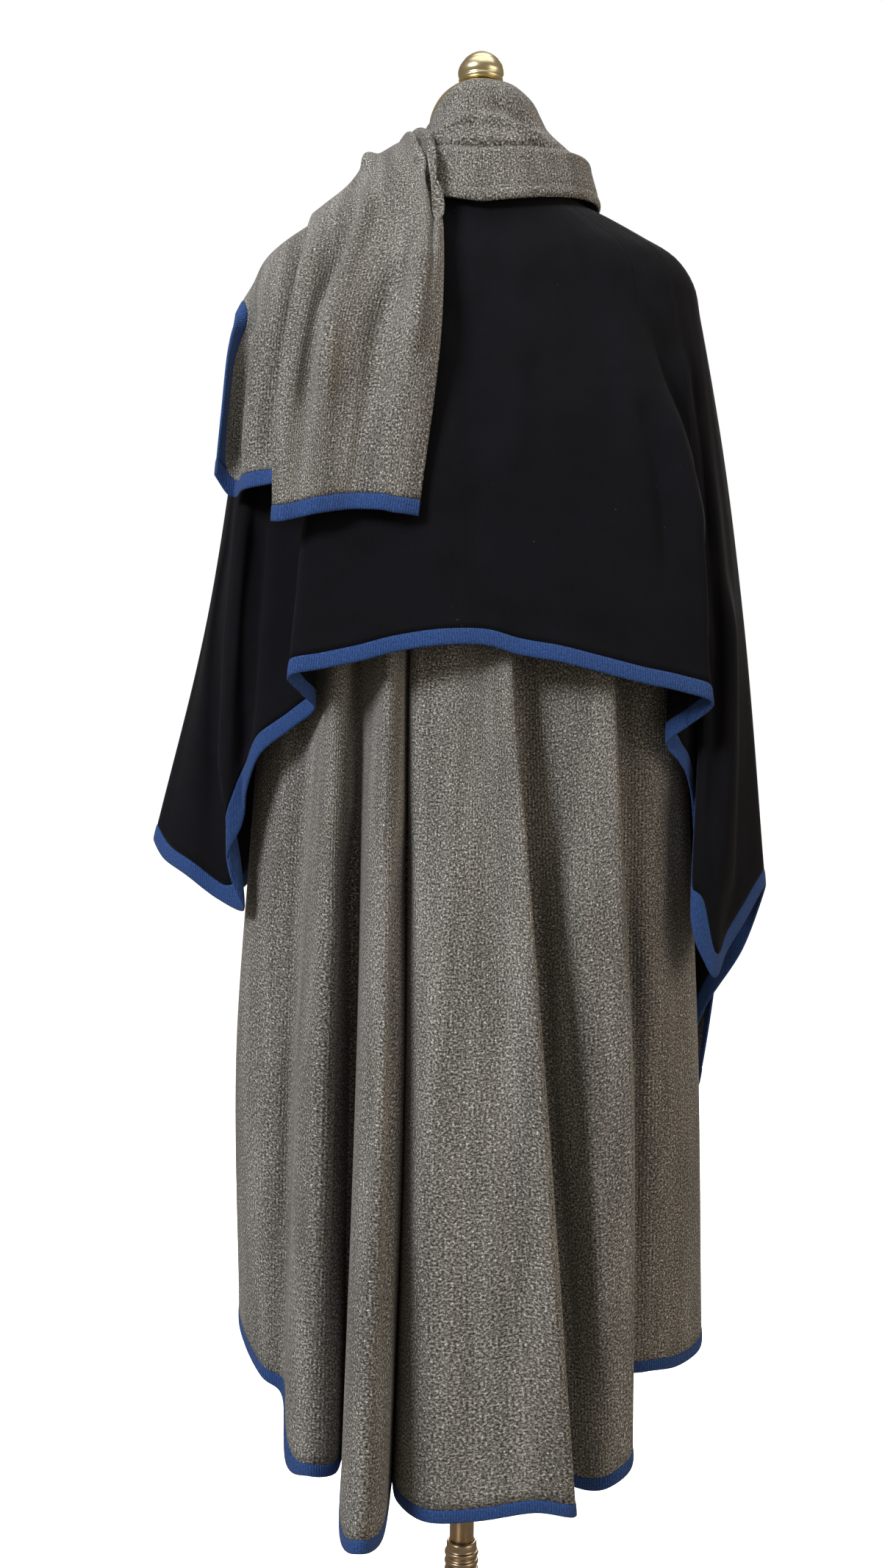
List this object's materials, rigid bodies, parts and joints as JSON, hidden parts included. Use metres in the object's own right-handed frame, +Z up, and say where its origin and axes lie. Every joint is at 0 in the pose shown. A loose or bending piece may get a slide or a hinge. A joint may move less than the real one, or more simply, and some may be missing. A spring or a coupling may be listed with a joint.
{
  "type": "convertible wrap cape on dress form",
  "caption": "Layered knit wrap cape, short over-cape and shoulder wrap with bound edges, worn on a limbless dress form that slides up and down on a round-based stand.",
  "frame": {"origin": "centre of the stand's base, on the floor", "axes": "+Z up along the stand's axis, +Y the way the wearer faces, +X the wearer's right; the back of the cape looks along -Y"},
  "size_m": [0.6159, 0.4609, 1.701],
  "materials": {
    "grey_knit": "brushed wool-blend knit, warm grey marl with sparse silver fibres",
    "black_jersey": "matt black jersey knit",
    "blue_braid": "royal blue knitted edge binding",
    "form_cover": "plain linen cover on a padded form",
    "polished_brass": "polished brass, lightly tarnished",
    "aged_brass": "aged brass"
  },
  "bodies": {
    "stand": {"base": "aged_brass", "stand_tube": "aged_brass", "lock_collar": "aged_brass"},
    "form": {"pole": "aged_brass", "form_torso": "form_cover", "neck_cap": "polished_brass", "finial": "polished_brass", "long_left_front": "grey_knit", "long_back": "grey_knit", "long_right_front": "grey_knit", "long_left_front_hem_braid": "blue_braid", "long_back_hem_braid": "blue_braid", "long_right_front_hem_braid": "blue_braid", "long_left_front_edge_braid": "blue_braid", "long_right_front_edge_braid": "blue_braid", "over_left": "black_jersey", "over_back": "black_jersey", "over_right": "black_jersey", "over_left_hem_braid": "blue_braid", "over_back_hem_braid": "blue_braid", "over_right_hem_braid": "blue_braid", "over_left_edge_braid": "blue_braid", "over_right_edge_braid": "blue_braid", "wrap_front": "grey_knit", "wrap_front_hem_braid": "blue_braid", "wrap_front_edge_braid": "blue_braid", "wrap_under": "grey_knit", "wrap_under_hem_braid": "blue_braid", "wrap_under_edge_braid": "blue_braid", "wrap_tail": "grey_knit", "wrap_tail_hem_braid": "blue_braid", "collar_stand": "grey_knit", "collar_band": "grey_knit"}
  },
  "joints": [
    {"name": "mast_height", "type": "slide", "parent": "stand", "child": "form", "axis": [0, 0, 1], "range_m": [-0.05, 0.06]}
  ]
}
